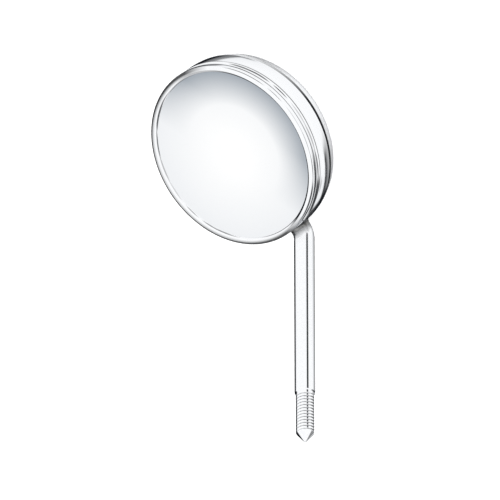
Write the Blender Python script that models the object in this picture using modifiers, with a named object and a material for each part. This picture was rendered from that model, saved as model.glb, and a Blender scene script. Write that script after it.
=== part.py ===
"""Dental mouth mirror head: a round front-surface mirror in a two-piece steel case, on a bent stem.

The frame: the head lies on its flat back, with the mirror facing +Z. The origin is the
centre of the back face. The stem leaves the case wall towards +X, bends up by 45 degrees
and ends in a thread with a pointed tip, which screws into a handle.
"""
import math

import bmesh
import bpy
from mathutils import Matrix, Vector

MM = 0.001

# The case. Radii are from the head's axis and heights are from the flat back face.
HEAD_RADIUS = 13.0 * MM
MIRROR_FACE_Z = 6.7 * MM
LIP_RISE = 0.7 * MM             # the lip's crest over the mirror's face
LIP_OPENING_RADIUS = 12.1 * MM
LIP_OUTER_ROUND = 0.4 * MM
LIP_SIDE_DEPTH = 0.3 * MM       # the lip's outer side, from the mirror's face down to the cove
COVE_DEPTH = 0.2 * MM
CASE_JOINT_Z = 5.25 * MM        # where the bezel's shoulder meets the cup's rim
SLEEVE_BOTTOM_Z = 3.15 * MM
BEZEL_BORE_RADIUS = 12.35 * MM
SLEEVE_OUTER_RADIUS = 12.65 * MM
CUP_BORE_RADIUS = 12.7 * MM
BAND_CROWN = 0.05 * MM
GROOVE_Z = 2.53 * MM            # the middle of the rolled groove
GROOVE_WIDTH = 0.42 * MM
GROOVE_DEPTH = 0.45 * MM
BACK_BAND_RADIUS = 12.85 * MM   # just below the groove
BACK_TAPER = math.radians(20)   # how far the back band leans in
BACK_ROUND = 1.6 * MM
COIN_RADIUS = 9.6 * MM          # the flat disc on the back that the head rests on
COIN_HEIGHT = 0.12 * MM
CUP_WALL = 0.4 * MM

# The stack inside the case, front to back.
CONTACT_GAP = 0.05 * MM
GLASS_RADIUS = 12.3 * MM
GLASS_THICKNESS = 1.8 * MM
GLASS_EDGE_CHAMFER = 0.08 * MM
SEAL_THICKNESS = 0.15 * MM
COATING_THICKNESS = 0.05 * MM
ADHESIVE_THICKNESS = 0.1 * MM
CUSHION_BOTTOM_Z = 2.85 * MM
CUSHION_EDGE_ROUND = 0.15 * MM

# The stem, its bend and its threaded end.
STEM_RADIUS = 1.4 * MM
STEM_ROOT_Z = 3.1 * MM
STEM_BEND_ANGLE = math.radians(45)
STEM_BEND_RADIUS = 2.4 * MM
STEM_BEND_CORNER_X = 14.24 * MM     # where the lines of the two straights cross
STEM_LENGTH = 32.1 * MM         # from that corner to the tip
THREAD_RADIUS = 1.25 * MM       # M2.5
THREAD_PITCH = 0.45 * MM
THREAD_LENGTH = 6.0 * MM
TIP_LENGTH = 1.35 * MM
TIP_FLAT_RADIUS = 0.12 * MM
THREAD_OVERLAP = 0.3 * MM       # how far the thread's core reaches into the plain rod

# The silver braze around the stem's root.
BRAZE_HEIGHT = 0.45 * MM
BRAZE_HALF_WIDTH = 2.1 * MM     # along the case wall
BRAZE_HALF_DEPTH = 1.5 * MM     # across the case wall
BRAZE_TOP_RADIUS = 1.48 * MM

# How finely the round surfaces are divided.
HEAD_STEPS = 48
STEM_SIDES = 24
ARC_STEPS = 4
BRAZE_RINGS = 4
MERGE_DISTANCE = 0.001 * MM
SMOOTH_ANGLE = math.radians(32)


def clear_scene():
    """Remove what the file opened with."""
    for obj in list(bpy.data.objects):
        bpy.data.objects.remove(obj, do_unlink=True)
    for mesh in list(bpy.data.meshes):
        bpy.data.meshes.remove(mesh)


def new_collection(name):
    """Make a collection in the scene."""
    collection = bpy.data.collections.new(name)
    bpy.context.scene.collection.children.link(collection)
    return collection


def make_material(name, colour, roughness, metallic=0.0, transmission=0.0):
    """Make a Principled BSDF material."""
    material = bpy.data.materials.new(name)
    material.use_nodes = True
    shader = material.node_tree.nodes["Principled BSDF"]
    shader.inputs["Base Color"].default_value = (*colour, 1.0)
    shader.inputs["Roughness"].default_value = roughness
    shader.inputs["Metallic"].default_value = metallic
    shader.inputs["Transmission Weight"].default_value = transmission
    return material


def arc(centre, radius, start, end, steps=ARC_STEPS):
    """Points on an arc in the profile plane, with its angles in degrees."""
    points = []
    for i in range(steps + 1):
        angle = math.radians(start + (end - start) * i / steps)
        points.append((centre[0] + radius * math.cos(angle), centre[1] + radius * math.sin(angle)))
    return points


def cove(top, bottom, radius, depth, steps=ARC_STEPS):
    """Points down a hollow between two heights on a wall, as an arc of the given depth."""
    half = (top - bottom) / 2
    curve_radius = (half ** 2 + depth ** 2) / (2 * depth)
    centre = (radius - depth + curve_radius, (top + bottom) / 2)
    reach = math.degrees(math.asin(half / curve_radius))
    return arc(centre, curve_radius, 180 - reach, 180 + reach, steps)


def link(obj, collection, material=None, parent=None):
    """Put an object in a collection, with its material and parent."""
    collection.objects.link(obj)
    if material is not None:
        obj.data.materials.append(material)
    obj.parent = parent
    return obj


def shade(mesh):
    """Shade round surfaces smooth and keep true edges sharp."""
    mesh.shade_smooth()
    mesh.set_sharp_from_angle(angle=SMOOTH_ANGLE)


def add_bevel(obj, width, segments=1):
    """Break an object's sharp edges."""
    bevel = obj.modifiers.new("edge", "BEVEL")
    bevel.width = width
    bevel.segments = segments
    bevel.limit_method = "ANGLE"
    bevel.angle_limit = math.radians(60)


def add_boolean(obj, other, operation):
    """Join, cut or trim an object with another one."""
    boolean = obj.modifiers.new(other.name, "BOOLEAN")
    boolean.operation = operation
    boolean.solver = "EXACT"
    boolean.object = other


def add_screw(obj, steps, turns=1, rise_per_turn=0.0):
    """Sweep a profile around the object's own Z axis."""
    screw = obj.modifiers.new("turn", "SCREW")
    screw.axis = "Z"
    screw.angle = 2 * math.pi
    screw.steps = steps
    screw.render_steps = steps
    screw.iterations = turns
    screw.screw_offset = rise_per_turn
    screw.use_smooth_shade = True
    if rise_per_turn == 0.0:
        screw.use_merge_vertices = True
        screw.merge_threshold = MERGE_DISTANCE


def profile_object(name, points, closed):
    """Make an object that holds a profile of (radius, height) points at +X."""
    mesh = bpy.data.meshes.new(name)
    edges = [(i, i + 1) for i in range(len(points) - 1)]
    if closed:
        edges.append((len(points) - 1, 0))
    mesh.from_pydata([(radius, 0.0, height) for radius, height in points], edges, [])
    return bpy.data.objects.new(name, mesh)


def turned_piece(name, points, closed=False, steps=HEAD_STEPS):
    """A turned piece: its profile runs down its outer side, top to bottom."""
    obj = profile_object(name, points, closed)
    add_screw(obj, steps)
    return obj


def disc_piece(name, radius, bottom, top, edge=0.0, edge_segments=1):
    """A flat round disc between two heights."""
    mesh = bpy.data.meshes.new(name)
    disc = bmesh.new()
    bmesh.ops.create_cone(disc, cap_ends=True, segments=HEAD_STEPS,
                          radius1=radius, radius2=radius, depth=top - bottom)
    disc.to_mesh(mesh)
    disc.free()
    shade(mesh)
    obj = bpy.data.objects.new(name, mesh)
    obj.location.z = (top + bottom) / 2
    if edge > 0:
        add_bevel(obj, edge, edge_segments)
    return obj


def evaluated_mesh(obj, name):
    """The mesh that an object's curve or modifiers give, with loose caps welded on."""
    bpy.context.view_layer.update()
    graph = bpy.context.evaluated_depsgraph_get()
    mesh = bpy.data.meshes.new_from_object(obj.evaluated_get(graph), depsgraph=graph)
    mesh.name = name
    work = bmesh.new()
    work.from_mesh(mesh)
    bmesh.ops.remove_doubles(work, verts=work.verts, dist=MERGE_DISTANCE)
    open_edges = [edge for edge in work.edges if edge.is_boundary]
    if open_edges:
        bmesh.ops.holes_fill(work, edges=open_edges, sides=0)
    bmesh.ops.recalc_face_normals(work, faces=work.faces)
    work.to_mesh(mesh)
    work.free()
    return mesh


def bezel_profile():
    """The crimped front ring: bevelled lip, cove, shoulder, hidden sleeve and bore."""
    crest_z = MIRROR_FACE_Z + LIP_RISE
    seat_z = MIRROR_FACE_Z + 2 * CONTACT_GAP + SEAL_THICKNESS
    crest_start = HEAD_RADIUS - LIP_OUTER_ROUND
    cove_top = MIRROR_FACE_Z - LIP_SIDE_DEPTH
    shoulder_z = CASE_JOINT_Z + CONTACT_GAP / 2
    points = [(LIP_OPENING_RADIUS, seat_z)]
    points += arc((crest_start, crest_z - LIP_OUTER_ROUND), LIP_OUTER_ROUND, 90, 0)
    points += cove(cove_top, shoulder_z + CONTACT_GAP, HEAD_RADIUS, COVE_DEPTH)
    points += [
        (HEAD_RADIUS - 2 * CONTACT_GAP, shoulder_z),
        (SLEEVE_OUTER_RADIUS, shoulder_z),
        (SLEEVE_OUTER_RADIUS, SLEEVE_BOTTOM_Z),
        (BEZEL_BORE_RADIUS, SLEEVE_BOTTOM_Z),
        (BEZEL_BORE_RADIUS, seat_z),
    ]
    return points


def back_round_centre():
    """The centre of the rounding between the leaning back band and the back."""
    height = COIN_HEIGHT + BACK_ROUND
    arc_start_z = height - BACK_ROUND * math.sin(BACK_TAPER)
    arc_start_radius = back_band_radius(arc_start_z)
    return arc_start_radius - BACK_ROUND * math.cos(BACK_TAPER), height


def back_band_radius(height):
    """The back band's outer radius at a height: it leans in towards the back."""
    band_top_z = GROOVE_Z - GROOVE_WIDTH / 2 - 2 * CONTACT_GAP
    return BACK_BAND_RADIUS - (band_top_z - height) * math.tan(BACK_TAPER)


def cup_outer_profile():
    """The cup's outer side, from its rim down to the middle of its back."""
    rim_z = CASE_JOINT_Z - CONTACT_GAP / 2
    edge = 2 * CONTACT_GAP
    groove_top = GROOVE_Z + GROOVE_WIDTH / 2
    groove_bottom = GROOVE_Z - GROOVE_WIDTH / 2
    groove_floor = HEAD_RADIUS - GROOVE_DEPTH
    lean = math.degrees(BACK_TAPER)
    points = [
        (HEAD_RADIUS - BAND_CROWN - edge, rim_z),
        (HEAD_RADIUS - BAND_CROWN, rim_z - edge),
        (HEAD_RADIUS, (rim_z + groove_top) / 2),
        (HEAD_RADIUS - BAND_CROWN, groove_top + edge),
        (groove_floor, groove_top - edge),
        (groove_floor, groove_bottom + edge),
        (BACK_BAND_RADIUS, groove_bottom - edge),
    ]
    points += arc(back_round_centre(), BACK_ROUND, -lean, -90)
    points += [(COIN_RADIUS + COIN_HEIGHT, COIN_HEIGHT), (COIN_RADIUS, 0.0), (0.0, 0.0)]
    return points


def cup_inner_profile():
    """The cup's inner side, from the middle of its floor up to its rim."""
    shoulder_radius = HEAD_RADIUS - GROOVE_DEPTH - CUP_WALL
    floor_z = COIN_HEIGHT + CUP_WALL
    half_shoulder = GROOVE_WIDTH / 2
    lean = math.degrees(BACK_TAPER)
    lean_top_z = GROOVE_Z - half_shoulder - CUP_WALL / 2
    lean_top_radius = back_band_radius(lean_top_z) - CUP_WALL / math.cos(BACK_TAPER)
    points = [(0.0, CUP_WALL), (COIN_RADIUS, CUP_WALL), (COIN_RADIUS + COIN_HEIGHT, floor_z)]
    points += arc(back_round_centre(), BACK_ROUND - CUP_WALL, -90, -lean, 3)
    points += [
        (lean_top_radius, lean_top_z),
        (shoulder_radius, GROOVE_Z - half_shoulder + CONTACT_GAP),
        (shoulder_radius, GROOVE_Z + half_shoulder - CONTACT_GAP),
        (CUP_BORE_RADIUS, GROOVE_Z + half_shoulder + CUP_WALL / 2),
        (CUP_BORE_RADIUS, CASE_JOINT_Z - CONTACT_GAP / 2),
    ]
    return points


def build_head(parts, parent):
    """The case, the glass and the stack behind it."""
    steel = make_material("polished_steel", (0.77, 0.78, 0.80), 0.12, metallic=1.0)
    cup_steel = make_material("pressed_steel", (0.75, 0.76, 0.78), 0.16, metallic=1.0)
    rubber = make_material("seal_rubber", (0.03, 0.03, 0.035), 0.6)
    glass = make_material("clear_glass", (0.93, 0.96, 0.96), 0.02, transmission=0.9)
    silver = make_material("silver_film", (0.92, 0.93, 0.94), 0.03, metallic=1.0)
    adhesive = make_material("cured_adhesive", (0.75, 0.72, 0.62), 0.4)
    cork_rubber = make_material("cork_rubber", (0.45, 0.33, 0.22), 0.85)

    coating_bottom = MIRROR_FACE_Z - COATING_THICKNESS
    glass_top = coating_bottom - CONTACT_GAP
    glass_bottom = glass_top - GLASS_THICKNESS
    adhesive_top = glass_bottom - CONTACT_GAP
    adhesive_bottom = adhesive_top - ADHESIVE_THICKNESS
    seal_bottom = MIRROR_FACE_Z + CONTACT_GAP
    seal_top = seal_bottom + SEAL_THICKNESS
    seal_inner = LIP_OPENING_RADIUS + CONTACT_GAP / 2
    seal_outer = BEZEL_BORE_RADIUS - CONTACT_GAP / 2
    seal_profile = [(seal_outer, seal_top), (seal_outer, seal_bottom),
                    (seal_inner, seal_bottom), (seal_inner, seal_top)]

    bezel = turned_piece("front_bezel", bezel_profile(), closed=True)
    link(bezel, parts, steel, parent)
    cup = turned_piece("rear_cup", cup_inner_profile() + cup_outer_profile())
    link(cup, parts, cup_steel, parent)
    seal = turned_piece("sealing_ring", seal_profile, closed=True)
    link(seal, parts, rubber, parent)
    film = disc_piece("reflective_coating", GLASS_RADIUS - CONTACT_GAP, coating_bottom, MIRROR_FACE_Z)
    link(film, parts, silver, parent)
    mirror = disc_piece("mirror_glass", GLASS_RADIUS, glass_bottom, glass_top, GLASS_EDGE_CHAMFER)
    link(mirror, parts, glass, parent)
    bond = disc_piece("adhesive_film", GLASS_RADIUS - CONTACT_GAP, adhesive_bottom, adhesive_top)
    link(bond, parts, adhesive, parent)
    cushion = disc_piece("cushion_disc", GLASS_RADIUS - CONTACT_GAP, CUSHION_BOTTOM_Z,
                         adhesive_bottom - CONTACT_GAP, CUSHION_EDGE_ROUND, 2)
    link(cushion, parts, cork_rubber, parent)


def stem_route():
    """The rod's centre line, from the case wall round the bend to where the thread starts."""
    corner = Vector((STEM_BEND_CORNER_X, 0.0, STEM_ROOT_Z))
    along = Vector((math.cos(STEM_BEND_ANGLE), 0.0, math.sin(STEM_BEND_ANGLE)))
    tangent_length = STEM_BEND_RADIUS * math.tan(STEM_BEND_ANGLE / 2)
    bend_start_x = STEM_BEND_CORNER_X - tangent_length
    centre = Vector((bend_start_x, 0.0, STEM_ROOT_Z + STEM_BEND_RADIUS))
    route = [Vector((HEAD_RADIUS + CONTACT_GAP, 0.0, STEM_ROOT_Z))]
    bend_steps = 8
    for i in range(bend_steps + 1):
        angle = STEM_BEND_ANGLE * i / bend_steps
        route.append(centre + STEM_BEND_RADIUS * Vector((math.sin(angle), 0.0, -math.cos(angle))))
    rod_end = corner + along * (STEM_LENGTH - THREAD_LENGTH - TIP_LENGTH)
    route.append(rod_end)
    return route


def plain_rod(route):
    """The bent rod, made as a curve and turned into a closed mesh."""
    curve = bpy.data.curves.new("rod_curve", "CURVE")
    curve.dimensions = "3D"
    curve.bevel_depth = STEM_RADIUS
    curve.bevel_resolution = (STEM_SIDES - 4) // 2
    curve.use_fill_caps = True
    spline = curve.splines.new("POLY")
    spline.points.add(len(route) - 1)
    for point, place in zip(spline.points, route):
        point.co = (*place, 1.0)
    guide = bpy.data.objects.new("rod_curve", curve)
    bpy.context.scene.collection.objects.link(guide)
    rod = bpy.data.objects.new("stem", evaluated_mesh(guide, "stem"))
    rod.matrix_world = guide.matrix_world
    bpy.data.objects.remove(guide, do_unlink=True)
    return rod


def make_cutter(obj, collection, matrix):
    """Place a construction solid that isn't a part of the object."""
    collection.objects.link(obj)
    obj.matrix_world = matrix
    obj.hide_render = True
    obj.display_type = "WIRE"
    return obj


def thread_ridge(collection, matrix):
    """The thread's ridge: a 60 degree tooth swept along a right-hand helix."""
    tooth_height = 0.6134 * THREAD_PITCH
    root_radius = THREAD_RADIUS - tooth_height
    half_crest = THREAD_PITCH / 16
    half_base = half_crest + tooth_height * math.tan(math.radians(30))
    buried_radius = root_radius - 2 * CONTACT_GAP
    tooth = [
        (THREAD_RADIUS, half_crest), (THREAD_RADIUS, -half_crest),
        (root_radius, -half_base), (buried_radius, -half_base),
        (buried_radius, half_base), (root_radius, half_base),
    ]
    turns = math.ceil((THREAD_LENGTH + TIP_LENGTH) / THREAD_PITCH)
    profile = profile_object("thread_tooth", tooth, closed=True)
    add_screw(profile, STEM_SIDES, turns, THREAD_PITCH)
    collection.objects.link(profile)
    ridge = bpy.data.objects.new("thread_ridge", evaluated_mesh(profile, "thread_ridge"))
    bpy.data.objects.remove(profile, do_unlink=True)
    return make_cutter(ridge, collection, matrix)


def threaded_end(collection, rod_end):
    """The threaded and pointed end of the stem, as a solid to join to the rod."""
    root_radius = THREAD_RADIUS - 0.6134 * THREAD_PITCH
    end_z = THREAD_LENGTH + TIP_LENGTH
    matrix = Matrix.Translation(rod_end) @ Matrix.Rotation(math.pi / 2 - STEM_BEND_ANGLE, 4, "Y")
    core_profile = [(0.0, end_z + THREAD_OVERLAP), (root_radius, end_z + THREAD_OVERLAP),
                    (root_radius, -THREAD_OVERLAP), (0.0, -THREAD_OVERLAP)]
    core = make_cutter(turned_piece("thread_core", core_profile, steps=STEM_SIDES), collection, matrix)
    taper = (THREAD_RADIUS - TIP_FLAT_RADIUS) / TIP_LENGTH
    envelope_radius = 1.1 * THREAD_RADIUS
    taper_start_z = THREAD_LENGTH - (envelope_radius - THREAD_RADIUS) / taper
    envelope_profile = [(0.0, end_z), (TIP_FLAT_RADIUS, end_z), (envelope_radius, taper_start_z),
                        (envelope_radius, -2 * THREAD_OVERLAP / 3), (0.0, -2 * THREAD_OVERLAP / 3)]
    envelope = turned_piece("thread_envelope", envelope_profile, steps=STEM_SIDES)
    make_cutter(envelope, collection, matrix)
    add_boolean(core, thread_ridge(collection, matrix), "UNION")
    add_boolean(core, envelope, "INTERSECT")
    return core


def build_stem(parts, cutters, parent):
    """The bent stem with its rolled thread, in one piece."""
    steel = make_material("stem_steel", (0.76, 0.77, 0.79), 0.14, metallic=1.0)
    route = stem_route()
    stem = plain_rod(route)
    link(stem, parts, steel, parent)
    add_boolean(stem, threaded_end(cutters, route[-1]), "UNION")
    shade(stem.data)


def braze_loft():
    """A flared collar that opens from the stem's round section to a wide oval on the case."""
    mesh = bpy.data.meshes.new("braze_fillet")
    work = bmesh.new()
    base_x = HEAD_RADIUS - GROOVE_DEPTH - CONTACT_GAP
    rings = []
    for i in range(BRAZE_RINGS + 1):
        rise = i / BRAZE_RINGS
        flare = (1 - rise) ** 2
        half_width = BRAZE_TOP_RADIUS + (BRAZE_HALF_WIDTH - BRAZE_TOP_RADIUS) * flare
        half_depth = BRAZE_TOP_RADIUS + (BRAZE_HALF_DEPTH - BRAZE_TOP_RADIUS) * flare
        x = base_x if i == 0 else HEAD_RADIUS + BRAZE_HEIGHT * rise
        rings.append([work.verts.new((x, half_width * math.cos(angle), half_depth * math.sin(angle)))
                      for angle in (2 * math.pi * j / STEM_SIDES for j in range(STEM_SIDES))])
    for low, high in zip(rings, rings[1:]):
        for j in range(STEM_SIDES):
            k = (j + 1) % STEM_SIDES
            work.faces.new((low[j], low[k], high[k], high[j]))
    work.faces.new(rings[0][::-1])
    work.faces.new(rings[-1])
    bmesh.ops.recalc_face_normals(work, faces=work.faces)
    work.to_mesh(mesh)
    work.free()
    obj = bpy.data.objects.new("braze_fillet", mesh)
    obj.location.z = STEM_ROOT_Z
    return obj


def build_braze(parts, cutters, parent):
    """The braze, cut clear of the stem and of the cup."""
    silver = make_material("silver_braze", (0.72, 0.70, 0.66), 0.3, metallic=1.0)
    fillet = link(braze_loft(), parts, silver, parent)

    hole_length = 4 * BRAZE_HEIGHT
    hole_radius = STEM_RADIUS + CONTACT_GAP
    hole_profile = [(0.0, hole_length), (hole_radius, hole_length),
                    (hole_radius, -hole_length), (0.0, -hole_length)]
    hole = turned_piece("braze_stem_hole", hole_profile, steps=STEM_SIDES)
    hole_matrix = Matrix.Translation((HEAD_RADIUS, 0.0, STEM_ROOT_Z)) @ Matrix.Rotation(math.pi / 2, 4, "Y")
    make_cutter(hole, cutters, hole_matrix)

    case_profile = [(0.0, CASE_JOINT_Z)]
    case_profile += [(radius + CONTACT_GAP, height) for radius, height in cup_outer_profile()[:-1]]
    case_profile.append((0.0, 0.0))
    case = turned_piece("braze_case_hollow", case_profile)
    make_cutter(case, cutters, Matrix.Identity(4))
    add_boolean(fillet, hole, "DIFFERENCE")
    add_boolean(fillet, case, "DIFFERENCE")
    shade(fillet.data)


def main():
    """Build the whole mirror."""
    clear_scene()
    parts = new_collection("mouth_mirror")
    cutters = new_collection("construction")
    origin = bpy.data.objects.new("mouth_mirror_origin", None)
    parts.objects.link(origin)
    build_head(parts, origin)
    build_stem(parts, cutters, origin)
    build_braze(parts, cutters, origin)


main()
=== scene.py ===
"""The looks of the dental mouth mirror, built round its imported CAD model."""
import math

import bmesh
import bpy
from mathutils import Matrix, Vector


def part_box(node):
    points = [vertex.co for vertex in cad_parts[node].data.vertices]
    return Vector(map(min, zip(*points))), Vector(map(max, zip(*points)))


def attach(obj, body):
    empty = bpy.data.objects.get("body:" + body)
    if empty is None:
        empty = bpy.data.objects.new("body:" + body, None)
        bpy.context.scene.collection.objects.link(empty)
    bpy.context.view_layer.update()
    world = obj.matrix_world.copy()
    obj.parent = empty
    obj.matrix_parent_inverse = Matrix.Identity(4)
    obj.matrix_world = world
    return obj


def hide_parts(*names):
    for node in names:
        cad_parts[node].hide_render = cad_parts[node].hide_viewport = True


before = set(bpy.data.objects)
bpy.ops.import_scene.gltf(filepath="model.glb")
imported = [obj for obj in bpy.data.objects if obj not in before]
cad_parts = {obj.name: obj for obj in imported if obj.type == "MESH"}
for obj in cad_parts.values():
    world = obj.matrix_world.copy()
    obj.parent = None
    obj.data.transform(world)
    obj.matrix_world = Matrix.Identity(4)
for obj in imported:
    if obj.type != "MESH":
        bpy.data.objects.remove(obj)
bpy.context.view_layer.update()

MM = 0.001

# Read from the frame: where the CAD nodes lie.
HEAD_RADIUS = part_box("front_bezel")[1].y
CREST_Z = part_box("front_bezel")[1].z
SLEEVE_BOTTOM_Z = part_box("front_bezel")[0].z
CUP_RIM_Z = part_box("rear_cup")[1].z
GLASS_LOW, GLASS_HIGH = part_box("mirror_glass")
FILM_LOW, FILM_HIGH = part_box("reflective_coating")
BOND_LOW, BOND_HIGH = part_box("adhesive_film")
CUSHION_LOW, CUSHION_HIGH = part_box("cushion_disc")
SEAL_LOW, SEAL_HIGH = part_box("sealing_ring")
STEM_LOW, STEM_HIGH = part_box("stem")

# The case's outline. It follows the CAD model, with softer rounds.
LIP_OPENING_RADIUS = 12.1 * MM
NOSE_WIDTH = 0.08 * MM
LIP_CREST_RADIUS = 12.5 * MM
LIP_OUTER_ROUND = 0.46 * MM
CONTACT_GAP = 0.05 * MM
BEZEL_BORE_RADIUS = 12.35 * MM
SLEEVE_OUTER_RADIUS = 12.65 * MM
CUP_BORE_RADIUS = 12.7 * MM
SHOULDER_Z = CUP_RIM_Z + CONTACT_GAP
COVE_TOP_Z = FILM_HIGH.z - 0.3 * MM
COVE_DEPTH = 0.2 * MM
BAND_CROWN = 0.07 * MM
BAND_EDGE_RADIUS = HEAD_RADIUS - BAND_CROWN
GROOVE_Z = 2.53 * MM
GROOVE_HALF_WIDTH = 0.21 * MM
GROOVE_FLOOR_RADIUS = 12.55 * MM
SHOULDER_HALF_HEIGHT = 0.42 * MM    # of the ridge that the groove makes inside the cup
SHOULDER_DEPTH = 0.35 * MM
BACK_BAND_RADIUS = 12.85 * MM
BACK_BAND_TOP_Z = 2.22 * MM
BACK_TAPER = math.radians(20)
BACK_ROUND = 1.6 * MM
COIN_RADIUS = 9.6 * MM
COIN_HEIGHT = 0.12 * MM
CUP_WALL = 0.4 * MM
GLASS_CHAMFER = 0.08 * MM

# The stem.
STEM_RADIUS = STEM_HIGH.y
STEM_ROOT_Z = STEM_LOW.z + STEM_RADIUS
ROOT_GAP = 0.02 * MM
BEND_ANGLE = math.radians(45)
BEND_RADIUS = 2.4 * MM
BEND_CORNER_X = 14.24 * MM
BEND_TANGENT = BEND_RADIUS * math.tan(BEND_ANGLE / 2)
BEND_START = BEND_CORNER_X - BEND_TANGENT
BEND_LENGTH = BEND_RADIUS * BEND_ANGLE
STEM_LENGTH = 32.1 * MM         # from the bend's corner to the tip
CENTRE_LINE_LENGTH = BEND_START + BEND_LENGTH + STEM_LENGTH - BEND_TANGENT
THREAD_RADIUS = 1.25 * MM
THREAD_PITCH = 0.45 * MM
THREAD_DEPTH = 0.11 * MM
THREAD_CREST = 0.27 * MM        # how wide the thread's flat crest is
THREAD_FLANK = math.radians(30)
THREAD_CHAMFER = 0.12 * MM      # between the plain rod and the thread
THREAD_LENGTH = 6.0 * MM
TIP_LENGTH = 1.35 * MM
TIP_FLAT_RADIUS = 0.12 * MM
TIP_DOME = 0.04 * MM

# The braze at the stem's root.
BRAZE_CLEARANCE = 0.01 * MM
BRAZE_REACH = 0.75 * MM         # how far it has run along the case, beside the stem
BRAZE_LEAST_REACH = 0.16 * MM   # and above and below the stem
BRAZE_CLIMB = 0.42 * MM         # and up the stem

# How finely the pieces are divided.
HEAD_SEGMENTS = 256
STEM_SEGMENTS = 72
BEND_STEPS = 28
ROD_STEPS = 12
STEPS_PER_PITCH = 14
BRAZE_STEPS_ROUND = 96
BRAZE_STEPS_UP = 12
FILLET_STEP = math.radians(9)
SMOOTH_ANGLE = math.radians(35)


# ---------------------------------------------------------------- outlines and meshes

def rounded_outline(corners, closed=False):
    """Turn (radius, height, fillet) corners into points, with an arc at each fillet."""
    count = len(corners)
    points = []
    for i, (radius, height, fillet) in enumerate(corners):
        here = Vector((radius, height))
        is_end = not closed and i in (0, count - 1)
        if fillet == 0 or is_end:
            points.append(here)
            continue
        before = Vector(corners[i - 1][:2]) - here
        after = Vector(corners[(i + 1) % count][:2]) - here
        corner_angle = before.angle(after)
        reach = fillet / math.tan(corner_angle / 2)
        start = here + before.normalized() * reach
        end = here + after.normalized() * reach
        middle = (before.normalized() + after.normalized()).normalized()
        centre = here + middle * (fillet / math.sin(corner_angle / 2))
        turn = math.pi - corner_angle
        steps = max(2, math.ceil(turn / FILLET_STEP))
        first = start - centre
        last = end - centre
        for j in range(steps + 1):
            share = j / steps
            weight_first = math.sin((1 - share) * turn) / math.sin(turn)
            weight_last = math.sin(share * turn) / math.sin(turn)
            points.append(centre + first * weight_first + last * weight_last)
    return points


def arc_between(top, bottom, radius, bulge, steps=14):
    """Corners down a shallow arc on a wall: it bulges out, or in where bulge is negative."""
    corners = []
    for i in range(steps + 1):
        share = i / steps
        height = top + (bottom - top) * share
        corners.append((radius + bulge * (1 - (2 * share - 1) ** 2), height, 0))
    return corners


def finish_mesh(work, name):
    """Make an object from a bmesh, with its normals out and its round surfaces smooth."""
    bmesh.ops.recalc_face_normals(work, faces=work.faces)
    mesh = bpy.data.meshes.new(name)
    work.to_mesh(mesh)
    work.free()
    mesh.shade_smooth()
    mesh.set_sharp_from_angle(angle=SMOOTH_ANGLE)
    obj = bpy.data.objects.new(name, mesh)
    bpy.context.scene.collection.objects.link(obj)
    return obj


def bridge(work, low, high):
    """Faces between two rings of vertices. A ring of one vertex makes a fan."""
    count = max(len(low), len(high))
    for j in range(count):
        k = (j + 1) % count
        if len(low) == 1:
            work.faces.new((low[0], high[k], high[j]))
        elif len(high) == 1:
            work.faces.new((low[j], low[k], high[0]))
        else:
            work.faces.new((low[j], low[k], high[k], high[j]))


def turned(name, points, closed=False, segments=HEAD_SEGMENTS):
    """A turned piece from a profile of points (radius, height)."""
    work = bmesh.new()
    rings = []
    for radius, height in points:
        if radius < 1e-7:
            rings.append([work.verts.new((0, 0, height))])
            continue
        rings.append([work.verts.new((radius * math.cos(a), radius * math.sin(a), height))
                      for a in (2 * math.pi * j / segments for j in range(segments))])
    pairs = list(zip(rings, rings[1:]))
    if closed:
        pairs.append((rings[-1], rings[0]))
    for low, high in pairs:
        bridge(work, low, high)
    return finish_mesh(work, name)


# ---------------------------------------------------------------- the case

def back_band_radius(height):
    """The back band's outer radius: it leans in towards the back."""
    return BACK_BAND_RADIUS - (BACK_BAND_TOP_Z - height) * math.tan(BACK_TAPER)


def band_radius(height):
    """The case wall's outer radius where the stem's root lies."""
    groove_distance = abs(height - GROOVE_Z)
    if groove_distance < GROOVE_HALF_WIDTH:
        return GROOVE_FLOOR_RADIUS
    if groove_distance < 2 * GROOVE_HALF_WIDTH:
        share = (groove_distance - GROOVE_HALF_WIDTH) / GROOVE_HALF_WIDTH
        return GROOVE_FLOOR_RADIUS + (BAND_EDGE_RADIUS - GROOVE_FLOOR_RADIUS) * share
    return BAND_EDGE_RADIUS if height > GROOVE_Z else back_band_radius(height)


def make_bezel():
    """The crimped front ring, with its bevelled lip, cove and hidden sleeve."""
    seat_z = SEAL_HIGH.z + CONTACT_GAP
    edge_z = SHOULDER_Z + 0.08 * MM
    nose_z = SEAL_LOW.z + 0.03 * MM
    nose_back = LIP_OPENING_RADIUS + NOSE_WIDTH
    corners = [
        (nose_back, seat_z, 0),
        (nose_back, nose_z, 0.02 * MM),
        (LIP_OPENING_RADIUS, nose_z, 0.04 * MM),
        (LIP_OPENING_RADIUS + 0.06 * MM, nose_z + 0.3 * MM, 0.3 * MM),
        (LIP_CREST_RADIUS, CREST_Z, 0.1 * MM),
        (HEAD_RADIUS, CREST_Z, LIP_OUTER_ROUND),
        (HEAD_RADIUS, COVE_TOP_Z + 0.06 * MM, 0.05 * MM),
    ]
    corners += arc_between(COVE_TOP_Z, edge_z, HEAD_RADIUS - 0.03 * MM, -COVE_DEPTH + 0.03 * MM)
    corners += [
        (HEAD_RADIUS - 0.08 * MM, SHOULDER_Z, 0.03 * MM),
        (SLEEVE_OUTER_RADIUS, SHOULDER_Z, 0.02 * MM),
        (SLEEVE_OUTER_RADIUS, SLEEVE_BOTTOM_Z, 0.05 * MM),
        (BEZEL_BORE_RADIUS, SLEEVE_BOTTOM_Z, 0.05 * MM),
        (BEZEL_BORE_RADIUS, seat_z, 0.03 * MM),
    ]
    return turned("bezel_ring", rounded_outline(corners, closed=True), closed=True)


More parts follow.
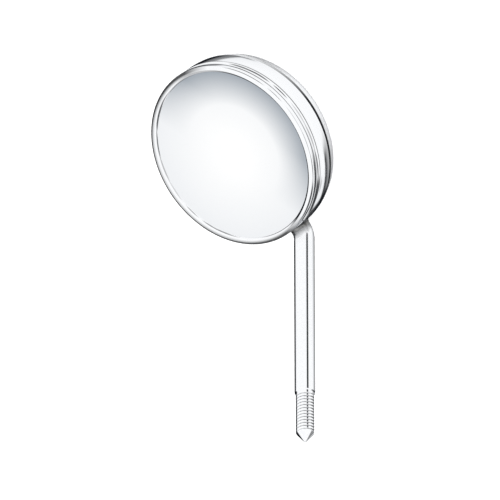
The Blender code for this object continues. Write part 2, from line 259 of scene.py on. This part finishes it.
def make_cup():
    """The pressed cup: wide band, rolled groove, back band and coined back."""
    inner_floor = COIN_HEIGHT + CUP_WALL
    groove_top = GROOVE_Z + GROOVE_HALF_WIDTH
    groove_bottom = GROOVE_Z - GROOVE_HALF_WIDTH
    shoulder_radius = GROOVE_FLOOR_RADIUS - SHOULDER_DEPTH
    lean_top_z = GROOVE_Z - SHOULDER_HALF_HEIGHT
    wall_slant = CUP_WALL / math.cos(BACK_TAPER)
    corners = [
        (0, CUP_WALL, 0),
        (COIN_RADIUS, CUP_WALL, 0.1 * MM),
        (COIN_RADIUS + COIN_HEIGHT, inner_floor, 0.1 * MM),
        (back_band_radius(inner_floor) - wall_slant, inner_floor, BACK_ROUND - CUP_WALL),
        (back_band_radius(lean_top_z) - wall_slant, lean_top_z, 0.1 * MM),
        (shoulder_radius, groove_bottom + 0.02 * MM, 0.1 * MM),
        (shoulder_radius, groove_top - 0.02 * MM, 0.1 * MM),
        (CUP_BORE_RADIUS, GROOVE_Z + SHOULDER_HALF_HEIGHT, 0.1 * MM),
        (CUP_BORE_RADIUS, CUP_RIM_Z, 0.02 * MM),
        (BAND_EDGE_RADIUS, CUP_RIM_Z, 0.1 * MM),
    ]
    corners += arc_between(CUP_RIM_Z - 0.14 * MM, groove_top + 0.16 * MM,
                           BAND_EDGE_RADIUS, BAND_CROWN)
    corners += [
        (BAND_EDGE_RADIUS, groove_top + 0.02 * MM, 0.1 * MM),
        (GROOVE_FLOOR_RADIUS, groove_top - 0.02 * MM, 0.12 * MM),
        (GROOVE_FLOOR_RADIUS, groove_bottom + 0.02 * MM, 0.12 * MM),
        (BACK_BAND_RADIUS, groove_bottom - 0.02 * MM, 0.1 * MM),
        (back_band_radius(COIN_HEIGHT), COIN_HEIGHT, BACK_ROUND),
        (COIN_RADIUS + 1.5 * COIN_HEIGHT, COIN_HEIGHT, 0.3 * MM),
        (COIN_RADIUS, 0, 0.15 * MM),
        (COIN_RADIUS - 0.5 * MM, 0, 0),
        (0, 0, 0),
    ]
    return turned("case_cup", rounded_outline(corners))


def make_disc(name, radius, bottom, top, edge):
    """A flat disc with a rounded edge. A ring just inside the edge keeps its faces truly flat."""
    flat = radius - 3 * edge
    corners = [
        (0, top, 0),
        (flat, top, 0),
        (radius, top, edge),
        (radius, bottom, edge),
        (flat, bottom, 0),
        (0, bottom, 0),
    ]
    return turned(name, rounded_outline(corners))


def make_glass():
    """The mirror glass, with a ground chamfer round both faces."""
    radius = GLASS_HIGH.y
    corners = [
        (0, GLASS_HIGH.z, 0),
        (radius - 3 * GLASS_CHAMFER, GLASS_HIGH.z, 0),
        (radius - GLASS_CHAMFER, GLASS_HIGH.z, 0.02 * MM),
        (radius, GLASS_HIGH.z - GLASS_CHAMFER, 0.02 * MM),
        (radius, GLASS_LOW.z + GLASS_CHAMFER, 0.02 * MM),
        (radius - GLASS_CHAMFER, GLASS_LOW.z, 0.02 * MM),
        (0, GLASS_LOW.z, 0),
    ]
    return turned("mirror_disc", rounded_outline(corners))


def make_seal():
    """The rubber ring under the lip, behind the lip's turned-down nose."""
    inner = LIP_OPENING_RADIUS + NOSE_WIDTH + 0.02 * MM
    outer = BEZEL_BORE_RADIUS - 0.025 * MM
    edge = 0.04 * MM
    corners = [
        (outer, SEAL_HIGH.z, edge),
        (outer, SEAL_LOW.z, edge),
        (inner, SEAL_LOW.z, edge),
        (inner, SEAL_HIGH.z, edge),
    ]
    return turned("seal_ring", rounded_outline(corners, closed=True), closed=True)


# ---------------------------------------------------------------- the stem

def stem_frame(distance):
    """A point on the stem's centre line, with its direction and side direction.

    The distance runs from the head's axis out through the wall, round the bend and to the tip.
    """
    into_bend = min(max(distance - BEND_START, 0.0), BEND_LENGTH)
    angle = into_bend / BEND_RADIUS
    direction = Vector((math.cos(angle), 0, math.sin(angle)))
    side = Vector((-math.sin(angle), 0, math.cos(angle)))
    if distance <= BEND_START:
        return Vector((distance, 0, STEM_ROOT_Z)), direction, side
    centre = Vector((BEND_START, 0, STEM_ROOT_Z + BEND_RADIUS))
    point = centre - side * BEND_RADIUS
    return point + direction * (distance - BEND_START - into_bend), direction, side


def tip_radius(along):
    """The pointed end's radius, at a distance from where the thread starts."""
    past = along - THREAD_LENGTH
    slope = (THREAD_RADIUS - TIP_FLAT_RADIUS) / TIP_LENGTH
    return THREAD_RADIUS - slope * past


def thread_radius(along, turn):
    """The thread's radius, at a distance from its start and at a turn from 0 to 1."""
    phase = (along / THREAD_PITCH - turn) % 1.0
    off_crest = abs(phase - 0.5) * THREAD_PITCH
    drop = (off_crest - THREAD_CREST / 2) / math.tan(THREAD_FLANK)
    drop = min(max(drop, 0.0), THREAD_DEPTH)
    fade_in = min(1.0, max(0.0, (along - 0.1 * MM) / THREAD_PITCH))
    return min(THREAD_RADIUS - drop * fade_in, tip_radius(along))


def stem_radius(along, turn):
    """The stem's radius: a plain rod, a small chamfer and then the thread."""
    if along < -THREAD_CHAMFER:
        return STEM_RADIUS
    if along < 0:
        share = (along + THREAD_CHAMFER) / THREAD_CHAMFER
        return STEM_RADIUS + (THREAD_RADIUS - STEM_RADIUS) * share
    return thread_radius(along, turn)


def make_stem():
    """The bent rod with its rolled thread and its pointed tip, as one closed surface."""
    thread_start = CENTRE_LINE_LENGTH - THREAD_LENGTH - TIP_LENGTH
    bend_end = BEND_START + BEND_LENGTH
    rod_end = thread_start - THREAD_CHAMFER
    stations = [HEAD_RADIUS + ROOT_GAP, BEND_START]
    for start, end, steps in ((BEND_START, bend_end, BEND_STEPS), (bend_end, rod_end, ROD_STEPS)):
        stations += [start + (end - start) * i / steps for i in range(1, steps + 1)]
    fine = THREAD_PITCH / STEPS_PER_PITCH
    fine_steps = math.floor((THREAD_LENGTH + TIP_LENGTH) / fine)
    stations += [thread_start + i * fine for i in range(fine_steps + 1)]
    stations.append(CENTRE_LINE_LENGTH)

    work = bmesh.new()
    rings = []
    for station in stations:
        point, _, side = stem_frame(station)
        ring = []
        for j in range(STEM_SEGMENTS):
            turn = j / STEM_SEGMENTS
            angle = 2 * math.pi * turn
            radius = stem_radius(station - thread_start, turn)
            sideways = Vector((0, radius * math.cos(angle), 0))
            ring.append(work.verts.new(point + sideways + side * (radius * math.sin(angle))))
        rings.append(ring)
    for low, high in zip(rings, rings[1:]):
        bridge(work, low, high)
    point, direction, _ = stem_frame(CENTRE_LINE_LENGTH)
    bridge(work, rings[-1], [work.verts.new(point + direction * TIP_DOME)])
    bridge(work, [work.verts.new(stem_frame(stations[0])[0])], rings[0])
    return finish_mesh(work, "bent_stem")


def on_case(y, z):
    """The point on the case's wall beside the stem's root."""
    wall = band_radius(z) + BRAZE_CLEARANCE
    return Vector((math.sqrt(wall ** 2 - y ** 2), y, z))


def make_braze():
    """The braze fillet: it has run out along the case wall and climbed a little up the stem."""
    inner_radius = STEM_RADIUS + BRAZE_CLEARANCE
    work = bmesh.new()
    columns = []
    for j in range(BRAZE_STEPS_ROUND):
        angle = 2 * math.pi * j / BRAZE_STEPS_ROUND
        y_way = math.cos(angle)
        z_way = math.sin(angle)
        # The braze's edges are slightly uneven.
        ripple = 0.06 * math.sin(3 * angle + 0.7) + 0.04 * math.sin(5 * angle + 2.1)
        reach = BRAZE_REACH * abs(y_way) ** 1.5 * (1 + ripple) + BRAZE_LEAST_REACH
        foot_radius = inner_radius + reach
        foot = on_case(foot_radius * y_way, STEM_ROOT_Z + foot_radius * z_way)
        corner = on_case(inner_radius * y_way, STEM_ROOT_Z + inner_radius * z_way)
        climb = BRAZE_CLIMB * (1 + 1.5 * ripple)
        top = Vector((HEAD_RADIUS + climb, corner.y, corner.z))
        column = []
        for i in range(BRAZE_STEPS_UP + 1):
            share = i / BRAZE_STEPS_UP
            column.append(foot * (1 - share) ** 2 + corner * 2 * share * (1 - share)
                          + top * share ** 2)
        column.append(corner)
        columns.append([work.verts.new(point) for point in column])
    for j in range(BRAZE_STEPS_ROUND):
        left = columns[j]
        right = columns[(j + 1) % BRAZE_STEPS_ROUND]
        for i in range(len(left)):
            k = (i + 1) % len(left)
            work.faces.new((left[i], right[i], right[k], left[k]))
    return finish_mesh(work, "braze_collar")


# ---------------------------------------------------------------- materials

EDGE_TINT = (0.72, 0.73, 0.75, 1)    # how dark polished metal turns at a grazing angle


class NodeHelper:
    """Adds nodes to a material or a world. It takes numbers, colours and other nodes' outputs."""

    def __init__(self, owner):
        owner.use_nodes = True
        self.tree = owner.node_tree

    def node(self, kind, **inputs):
        """Add a node, with its inputs by name."""
        node = self.tree.nodes.new(kind)
        for name, value in inputs.items():
            self.feed(node.inputs[name.replace("_", " ")], value)
        return node

    def feed(self, socket, value):
        """Set a socket, or link it to an output."""
        if isinstance(value, bpy.types.NodeSocket):
            self.tree.links.new(value, socket)
        else:
            socket.default_value = value

    def remap(self, value, low, high, from_low=0.3, from_high=0.7, smooth=False):
        """Stretch a value from one range to another."""
        node = self.tree.nodes.new("ShaderNodeMapRange")
        if smooth:
            node.interpolation_type = "SMOOTHSTEP"
        self.feed(node.inputs["Value"], value)
        node.inputs["From Min"].default_value = from_low
        node.inputs["From Max"].default_value = from_high
        node.inputs["To Min"].default_value = low
        node.inputs["To Max"].default_value = high
        return node.outputs["Result"]

    def math(self, operation, first, *others):
        """Arithmetic on two values, or on several from left to right."""
        for other in others:
            node = self.tree.nodes.new("ShaderNodeMath")
            node.operation = operation
            self.feed(node.inputs[0], first)
            self.feed(node.inputs[1], other)
            first = node.outputs[0]
        return first

    def mix(self, factor, first, second):
        """Mix two colours."""
        node = self.tree.nodes.new("ShaderNodeMix")
        node.data_type = "RGBA"
        self.feed(node.inputs[0], factor)
        self.feed(node.inputs[6], first)
        self.feed(node.inputs[7], second)
        return node.outputs[2]

    def vector_value(self, operation, *vectors):
        """A number worked out from vectors, such as a length or a dot product."""
        node = self.tree.nodes.new("ShaderNodeVectorMath")
        node.operation = operation
        for socket, vector in zip(node.inputs, vectors):
            self.feed(socket, vector)
        return node.outputs["Value"]

    def parts(self, vector):
        """A vector's three numbers."""
        split = self.node("ShaderNodeSeparateXYZ", Vector=vector)
        return [split.outputs[axis] for axis in "XYZ"]


class Shading(NodeHelper):
    """The nodes of one material."""

    def __init__(self, name):
        self.material = bpy.data.materials.new(name)
        super().__init__(self.material)
        self.shader = self.tree.nodes["Principled BSDF"]
        self.coordinates = self.tree.nodes.new("ShaderNodeTexCoord").outputs["Object"]

    def set(self, **inputs):
        """Set the shader's own sockets."""
        for name, value in inputs.items():
            self.feed(self.shader.inputs[name.replace("_", " ")], value)

    def stretched(self, scale):
        """Object coordinates, stretched along the axes."""
        mapping = self.node("ShaderNodeMapping", Vector=self.coordinates, Scale=scale)
        return mapping.outputs["Vector"]

    def noise(self, scale, detail=3.0, vector=None):
        """A noise value from 0 to 1."""
        node = self.node("ShaderNodeTexNoise", Vector=vector or self.coordinates, Scale=scale,
                         Detail=detail, Roughness=0.55)
        return node.outputs["Fac"]

    def axial(self):
        """The distance from the head's axis, and the height."""
        x, y, height = self.parts(self.coordinates)
        flat = self.node("ShaderNodeCombineXYZ", X=x, Y=y)
        return self.vector_value("LENGTH", flat.outputs["Vector"]), height

    def between(self, value, low, high, soft):
        """A mask that is 1 between two values and fades out past them."""
        rising = self.remap(value, 0.0, 1.0, low - soft, low)
        falling = self.remap(value, 1.0, 0.0, high, high + soft)
        return self.math("MULTIPLY", rising, falling)

    def bump(self, height, strength, distance):
        """A bump from a height."""
        node = self.node("ShaderNodeBump", Height=height, Strength=strength, Distance=distance)
        return node.outputs["Normal"]


STEEL_LIGHT = (0.80, 0.81, 0.825, 1)
STEEL_DARK = (0.752, 0.7614, 0.7755, 1)      # in the fine lines
# Painted shade: the near-black steel that the colour turns to in grooves, at joints, under the lip
# and at the stem's root.
DULL_STEEL = (0.012, 0.013, 0.015, 1)
FINE_LINE_DEPTH = 0.004 * MM
# How rough the steel turns where the painted shade lies.
DULL_ROUGHNESS = 0.45
MATT_LOSS = 1.9              # how much of its metal gleam the steel loses where it is matt


def finish_steel(shading, lines, roughness, dull, bump_strength, matt=0.0):
    """Polished steel with soft haze and fine lines: near-black painted shade, rougher too, where
    the shade mask is high, and pale where matt.
    """
    steel = shading.mix(shading.remap(lines, 0.0, 1.0), STEEL_DARK, STEEL_LIGHT)
    haze = shading.remap(shading.noise(260, detail=4), roughness * 0.75, roughness * 1.35)
    rough = shading.math("MAXIMUM", haze, shading.math("MULTIPLY", dull, DULL_ROUGHNESS))
    metallic = shading.math("SUBTRACT", 1.0, shading.math("MULTIPLY", matt, MATT_LOSS))
    # The colour turns to near-black painted shade where the shade mask is high.
    shading.set(Base_Color=shading.mix(dull, steel, DULL_STEEL), Metallic=metallic,
                Roughness=shading.math("MAXIMUM", rough, matt),
                Normal=shading.bump(lines, bump_strength, FINE_LINE_DEPTH), Specular_Tint=EDGE_TINT)
    return shading.material


def bezel_steel():
    """The bezel: lines round it, and painted shade under its lip, at its joint and on the lip's far
    edge.
    """
    shading = Shading("bezel_steel")
    lines = shading.noise(1.0, detail=5, vector=shading.stretched((300, 300, 14000)))
    radius, height = shading.axial()
    # Painted shade: dark bands under the lip, at the joint with the cup, and on the lip's edge on
    # the far side (towards -Y).
    outside = shading.remap(radius, 0.0, 1.0, HEAD_RADIUS - 0.5 * MM, HEAD_RADIUS - 0.4 * MM)
    under_lip = shading.between(height, COVE_TOP_Z - 0.07 * MM, COVE_TOP_Z + 0.03 * MM, 0.05 * MM)
    joint = shading.between(height, SHOULDER_Z - 0.1 * MM, SHOULDER_Z + 0.05 * MM, 0.05 * MM)
    hidden = shading.math("MULTIPLY", outside, shading.math("MAXIMUM", under_lip, joint))
    lip_round = shading.remap(radius, 0.0, 0.9, HEAD_RADIUS - 0.68 * MM, HEAD_RADIUS - 0.30 * MM)
    lip_height = shading.remap(height, 0.0, 1.0, CREST_Z - 0.55 * MM, CREST_Z - 0.40 * MM)
    far_side = shading.remap(shading.parts(shading.coordinates)[1], 1.0, 0.0, 1.0 * MM, 5.0 * MM)
    lip_edge = shading.math("MULTIPLY", lip_round, lip_height, far_side)
    dull = shading.math("MAXIMUM", shading.math("MULTIPLY", hidden, 0.85), lip_edge)
    return finish_steel(shading, lines, 0.07, dull, 0.12)


def cup_steel():
    """The cup: rings and lines round it, painted shade in the groove and at the rim, and a satin
    back band.
    """
    shading = Shading("cup_steel")
    radius, height = shading.axial()
    ring_place = shading.node("ShaderNodeCombineXYZ", X=radius, Z=height)
    rings = shading.noise(9000, detail=3, vector=ring_place.outputs["Vector"])
    # Painted shade: in the groove, stronger towards the stem's side (+X), and at the rim where the
    # bezel meets the cup.
    sunk = shading.remap(radius, 1.0, 0.0, HEAD_RADIUS - 0.22 * MM, HEAD_RADIUS - 0.1 * MM)
    beside = shading.between(height, GROOVE_Z - 0.26 * MM, GROOVE_Z + 0.26 * MM, 0.08 * MM)
    rim = shading.remap(height, 0.0, 1.0, CUP_RIM_Z - 0.09 * MM, CUP_RIM_Z - 0.04 * MM)
    dirt = shading.remap(shading.parts(shading.coordinates)[0], 0.2, 1.0, -10.0 * MM, -1.0 * MM)
    groove = shading.math("MULTIPLY", sunk, beside, dirt)
    dull = shading.math("MAXIMUM", groove, shading.math("MULTIPLY", rim, 0.85))
    satin = shading.remap(height, 0.28, 0.0, GROOVE_Z - 0.35 * MM, GROOVE_Z - 0.25 * MM)
    return finish_steel(shading, rings, 0.08, dull, 0.1, satin)


def stem_steel():
    """The stem: polished rod, matt at its brazed root, with painted shade at that root and in the
    thread's valleys.
    """
    shading = Shading("rod_steel")
    lines = shading.noise(5200, detail=5)
    x, y, z = shading.parts(shading.coordinates)
    ragged = shading.math("MULTIPLY", shading.noise(900, detail=3), 0.8 * MM)
    reach = shading.math("ADD", x, ragged)
    # Painted shade where the stem meets the case, fading out along the stem with a ragged edge.
    heat = shading.remap(reach, 0.85, 0.0, HEAD_RADIUS + 0.7 * MM, HEAD_RADIUS + 1.7 * MM)
    pickled = shading.remap(reach, 0.15, 0.0, HEAD_RADIUS + 1.0 * MM, HEAD_RADIUS + 2.4 * MM)
    diagonal = math.sqrt(0.5)
    below = shading.math("SUBTRACT", x, z, BEND_CORNER_X - STEM_ROOT_Z)
    below = shading.math("MULTIPLY", below, diagonal)
    off_axis = shading.node("ShaderNodeCombineXYZ", X=below, Y=y)
    from_axis = shading.vector_value("LENGTH", off_axis.outputs["Vector"])
    along = shading.math("MULTIPLY", shading.math("ADD", x, z), diagonal)
    thread_end = (BEND_CORNER_X + STEM_ROOT_Z) * diagonal + STEM_LENGTH - TIP_LENGTH
    thread_start = thread_end - THREAD_LENGTH
    after_start = shading.remap(along, 0.0, 1.0, thread_start - 0.1 * MM, thread_start + 0.1 * MM)
    before_end = shading.remap(along, 1.0, 0.0, thread_end - 0.2 * MM, thread_end)
    in_root = shading.remap(from_axis, 0.45, 0.0,
                            THREAD_RADIUS - 0.1 * MM, THREAD_RADIUS - 0.03 * MM)
    # Painted shade in the thread's valleys.
    oily = shading.math("MULTIPLY", after_start, in_root, before_end)
    return finish_steel(shading, lines, 0.08, shading.math("MAXIMUM", heat, oily), 0.1, pickled)


def braze_material():
    """Silver braze: softer than the steel, with a frosted skin, mottled with flux stains, and dark
    all over as painted shade at the stem's root.
    """
    shading = Shading("braze_silver")
    cloud = shading.noise(1500, detail=5)
    grain = shading.noise(9000, detail=4)
    # The dark silver is painted shade where the stem meets the case; the cloud mottles it.
    silver = shading.mix(shading.remap(cloud, 0.0, 1.0),
                         (0.07, 0.07, 0.07, 1), (0.28, 0.28, 0.275, 1))
    shading.set(Base_Color=silver, Metallic=1.0, Roughness=shading.remap(grain, 0.22, 0.42),
                Normal=shading.bump(cloud, 0.5, 0.03 * MM))
    return shading.material


def rubber_material():
    """Black rubber with a fine grain."""
    shading = Shading("seal_black")
    grain = shading.noise(12000, detail=4)
    shading.set(Base_Color=shading.mix(grain, (0.018, 0.018, 0.02, 1), (0.045, 0.045, 0.05, 1)),
                Roughness=shading.remap(grain, 0.5, 0.7),
                Normal=shading.bump(grain, 0.3, 0.01 * MM))
    return shading.material


def glass_material():
    """Clear glass with a faintly ground surface."""
    shading = Shading("clear_glass")
    grind = shading.noise(2400, detail=4)
    shading.set(Base_Color=shading.mix(grind, (0.93, 0.97, 0.96, 1), (1.0, 1.0, 1.0, 1)),
                Roughness=shading.remap(grind, 0.02, 0.12), IOR=1.52, Transmission_Weight=1.0)
    return shading.material


def film_material():
    """The coated mirror face, with the faintest wiped haze."""
    shading = Shading("silver_film")
    cloud = shading.noise(180, detail=3)
    wipes = shading.noise(1.0, detail=4, vector=shading.stretched((160, 420, 160)))
    silver = shading.mix(cloud, (0.962, 0.968, 0.972, 1), (0.985, 0.985, 0.985, 1))
    shading.set(Base_Color=silver, Metallic=1.0, Roughness=shading.remap(wipes, 0.0, 0.02))
    return shading.material


def adhesive_material():
    """Cured adhesive: pale, with a slightly uneven surface."""
    shading = Shading("cured_adhesive")
    flow = shading.noise(900, detail=3)
    shading.set(Base_Color=shading.mix(flow, (0.66, 0.62, 0.5, 1), (0.8, 0.77, 0.68, 1)),
                Roughness=shading.remap(flow, 0.3, 0.5),
                Normal=shading.bump(flow, 0.3, 0.01 * MM))
    return shading.material


def cork_material():
    """Cork and rubber sheet: pale granules in a darker binder."""
    shading = Shading("cork_sheet")
    cells = shading.node("ShaderNodeTexVoronoi", Vector=shading.coordinates, Scale=1600)
    grain = shading.noise(5200, detail=4)
    granules = shading.mix(grain, (0.3, 0.2, 0.12, 1), (0.58, 0.43, 0.28, 1))
    edge = shading.remap(cells.outputs["Distance"], 0.0, 1.0, 0.35, 0.6)
    shading.set(Base_Color=shading.mix(edge, granules, (0.16, 0.11, 0.08, 1)),
                Roughness=shading.remap(grain, 0.75, 0.95),
                Normal=shading.bump(grain, 0.5, 0.03 * MM))
    return shading.material


# ---------------------------------------------------------------- putting it together

def place(piece, node, material):
    """Give a piece its material, and let it stand for its CAD node."""
    piece.data.materials.append(material)
    piece.visible_glossy = node == "stem"    # only the stem shows in other pieces' polish
    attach(piece, "root")
    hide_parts(node)


def build_object():
    """Every piece of the mirror."""
    place(make_bezel(), "front_bezel", bezel_steel())
    place(make_cup(), "rear_cup", cup_steel())
    place(make_stem(), "stem", stem_steel())
    place(make_braze(), "braze_fillet", braze_material())
    place(make_seal(), "sealing_ring", rubber_material())
    place(make_glass(), "mirror_glass", glass_material())
    place(make_disc("mirror_face", FILM_HIGH.y, FILM_LOW.z, FILM_HIGH.z, 0.01 * MM),
          "reflective_coating", film_material())
    place(make_disc("bond_layer", BOND_HIGH.y, BOND_LOW.z, BOND_HIGH.z, 0.03 * MM),
          "adhesive_film", adhesive_material())
    place(make_disc("cork_cushion", CUSHION_HIGH.y, CUSHION_LOW.z, CUSHION_HIGH.z, 0.2 * MM),
          "cushion_disc", cork_material())


# ---------------------------------------------------------------- studio

# The camera's axes in the object's frame: it looks at the mirror from 41.6 degrees off its axis.
CAMERA_BACK = Vector((-0.0460, 0.6621, 0.7480)).normalized()
CAMERA_UP_HINT = Vector((-0.8409, 0.3786, -0.3868))
LENS = 500
SENSOR = 36
FRAME_WIDTH = 67.48 * MM
AIM = Vector((12.05, -3.40, 10.45)) * MM

WORLD_STRENGTH = 1.25
STUDIO_DARK = (0.012, 0.014, 0.017, 1)
STUDIO_WHITE = (1, 1, 1, 1)

# Dark flags that polished steel reflects: direction, inner and outer half angle, darkness.
FLAGS = (
    ((0.97, -0.03, -0.10), 14, 28, 0.9),        # beside the stem: the cove's end and the root
    ((0.90, -0.05, -0.42), 13, 20, 0.78),       # the cove's middle beside the stem
    ((0.78, 0.50, -0.36), 10, 18, 0.78),        # the cove further round
    ((0.44, 0.83, -0.33), 9, 18, 0.5),          # the cove at the head's right
    ((0.02, 0.95, -0.28), 8, 16, 0.35),         # the cove at the head's upper right
    ((0.38, -0.56, -0.73), 10, 19, 0.95),       # the band where it turns away, above the stem
    ((-0.42, -0.50, -0.75), 10, 18, 0.75),      # the band where it turns away, at the head's left
    ((-0.46, 0.85, -0.26), 6, 11, 0.97),        # the dark line along the stem
    ((-0.80, 0.54, -0.27), 8, 15, 0.85),        # the cove at the head's top
    ((-0.92, 0.25, -0.32), 9, 17, 0.75),        # the cove at the head's top left
)

# The card that the mirror's face shows to the camera.
CARD_HEIGHT = 90 * MM
CARD_MARGIN = 1.02
CARD_CENTRE_COLOUR = (1.03, 1.03, 1.03, 1)
CARD_EDGE_COLOUR = (0.90, 0.915, 0.935, 1)
CARD_PALING = (0.25, 1.0)            # where it turns from one to the other, in mirror radii
CRESCENT_COLOUR = (0.36, 0.40, 0.445, 1)
CRESCENT_SIDE = math.radians(120)    # where the grey crescent lies, measured round the mirror
CRESCENT_DEPTH = (0.60, 1.01)        # from where to where it darkens outwards
CRESCENT_ENDS = (-0.20, 0.50)        # and from where to where it darkens towards that side


def camera_place():
    """Where the camera stands: far off, with a long lens."""
    return AIM + CAMERA_BACK * (FRAME_WIDTH * LENS / SENSOR)


def make_floor():
    """A plain pale floor. The steel doesn't reflect it, but the studio below the horizon."""
    work = bmesh.new()
    bmesh.ops.create_grid(work, x_segments=1, y_segments=1, size=3.0)
    floor = finish_mesh(work, "floor")
    shading = Shading("floor_white")
    tone = shading.noise(3, detail=2)
    shading.set(Base_Color=shading.mix(tone, (0.90, 0.90, 0.90, 1), (0.92, 0.92, 0.92, 1)),
                Roughness=0.8, Specular_IOR_Level=0.1, Emission_Color=STUDIO_WHITE,
                Emission_Strength=0.4)
    floor.data.materials.append(shading.material)
    floor.visible_glossy = False


def make_mirror_card():
    """A glowing card that only reflections see. It shades the mirror from white to blue-grey."""
    face_centre = Vector((0, 0, FILM_HIGH.z))
    sight = face_centre - camera_place()
    spread = CARD_HEIGHT / -sight.z
    size = LIP_OPENING_RADIUS * (1 + spread)
    work = bmesh.new()
    bmesh.ops.create_circle(work, cap_ends=True, segments=96, radius=size * CARD_MARGIN)
    card = finish_mesh(work, "mirror_card")
    card.location = face_centre + Vector((sight.x, sight.y, -sight.z)) * spread
    shading = Shading("mirror_card_glow")
    radius = shading.vector_value("LENGTH", shading.coordinates)
    towards = (math.cos(CRESCENT_SIDE), math.sin(CRESCENT_SIDE), 0)
    side = shading.vector_value("DOT_PRODUCT", shading.coordinates, towards)
    depth = shading.remap(radius, 0.0, 1.0, *(size * share for share in CRESCENT_DEPTH))
    ends = shading.remap(side, 0.0, 1.0, *(size * share for share in CRESCENT_ENDS))
    paling = shading.remap(radius, 0.0, 1.0, *(size * share for share in CARD_PALING))
    pale = shading.mix(paling, CARD_CENTRE_COLOUR, CARD_EDGE_COLOUR)
    colour = shading.mix(shading.math("MULTIPLY", depth, ends), pale, CRESCENT_COLOUR)
    emission = shading.node("ShaderNodeEmission", Color=colour)
    output = shading.tree.nodes["Material Output"]
    shading.tree.links.new(emission.outputs["Emission"], output.inputs["Surface"])
    card.data.materials.append(shading.material)
    card.visible_camera = False
    card.visible_diffuse = False
    card.visible_shadow = False


class Studio(NodeHelper):
    """The world's nodes: masks over the directions that polished metal reflects."""

    def __init__(self):
        world = bpy.data.worlds.new("studio")
        bpy.context.scene.world = world
        super().__init__(world)
        self.direction = self.tree.nodes.new("ShaderNodeTexCoord").outputs["Generated"]

    def rising(self, value, start, end):
        """A soft mask that is 0 below a range and 1 above it."""
        return self.remap(value, 0.0, 1.0, start, end, smooth=True)

    def falling(self, value, start, end):
        """A soft mask that is 1 below a range and 0 above it."""
        return self.remap(value, 1.0, 0.0, start, end, smooth=True)

    def darkness(self):
        """The large dark areas, from 0 to 1. The numbers are parts of a direction, from -1 to 1."""
        x, y, z = self.parts(self.direction)

        # Behind the object and below eye level: the outlines of the rim and the stem.
        behind = self.math("MULTIPLY", self.falling(y, -0.60, -0.15), self.falling(z, 0.40, 0.60))
        slant = self.math("ADD", x, self.math("MULTIPLY", z, 0.65))
        sides = self.math("MULTIPLY", self.rising(x, -0.66, -0.50), self.rising(slant, -1.0, -0.85))
        low_side = self.math("MULTIPLY", self.rising(x, 0.15, 0.45), self.falling(z, -0.60, -0.45))
        high_side = self.math("MULTIPLY", self.rising(x, 0.42, 0.60), self.rising(z, -0.15, 0.10))
        pale_side = self.remap(x, 0.0, 0.6, 0.22, 0.48, smooth=True)
        open_sides = self.math("MAXIMUM", low_side, high_side, pale_side)
        backdrop = self.math("MULTIPLY", behind, sides, self.math("SUBTRACT", 1.0, open_sides))

        # A low ring on the stem's side, darkest at its top: the lower half of the wide band.
        depth = self.remap(z, 0.42, 1.0, -0.88, -0.76, smooth=True)
        low_ring = self.math("MULTIPLY", self.falling(z, -0.765, -0.740), depth,
                             self.falling(y, 0.20, 0.45), self.rising(x, 0.0, 0.25))

        # Straight below: the stem's right edge.
        under = self.math("MULTIPLY", self.falling(z, -0.84, -0.80), self.falling(y, -0.25, -0.02))
        return self.math("MAXIMUM", backdrop, low_ring, under)


def make_world():
    """A white studio with dark areas low down, so that polished metal has dark edges."""
    studio = Studio()
    light = studio.math("SUBTRACT", 1.0, studio.darkness())
    for towards, inner, outer, darkness in FLAGS:
        middle = Vector(towards).normalized()
        closeness = studio.vector_value("DOT_PRODUCT", studio.direction, middle)
        flag = studio.remap(closeness, 1.0, 1.0 - darkness, math.cos(math.radians(outer)),
                            math.cos(math.radians(inner)), smooth=True)
        light = studio.math("MULTIPLY", light, flag)
    tone = studio.mix(light, STUDIO_DARK, STUDIO_WHITE)
    seen_directly = studio.tree.nodes.new("ShaderNodeLightPath").outputs["Is Camera Ray"]
    background = studio.tree.nodes["Background"]
    studio.feed(background.inputs["Color"], studio.mix(seen_directly, tone, STUDIO_WHITE))
    studio.feed(background.inputs["Strength"], WORLD_STRENGTH)


def make_camera():
    """The camera, far off and above the stem's side."""
    data = bpy.data.cameras.new("camera")
    data.lens = LENS
    data.sensor_width = SENSOR
    camera = bpy.data.objects.new("camera", data)
    bpy.context.scene.collection.objects.link(camera)
    right = CAMERA_UP_HINT.cross(CAMERA_BACK).normalized()
    up = CAMERA_BACK.cross(right)
    turn = Matrix((right, up, CAMERA_BACK)).transposed().to_4x4()
    camera.matrix_world = Matrix.Translation(camera_place()) @ turn
    data.clip_start = 0.01
    data.clip_end = 20
    bpy.context.scene.camera = camera


bpy.context.scene.view_settings.view_transform = "Standard"
make_camera()
make_world()
make_floor()
make_mirror_card()
build_object()
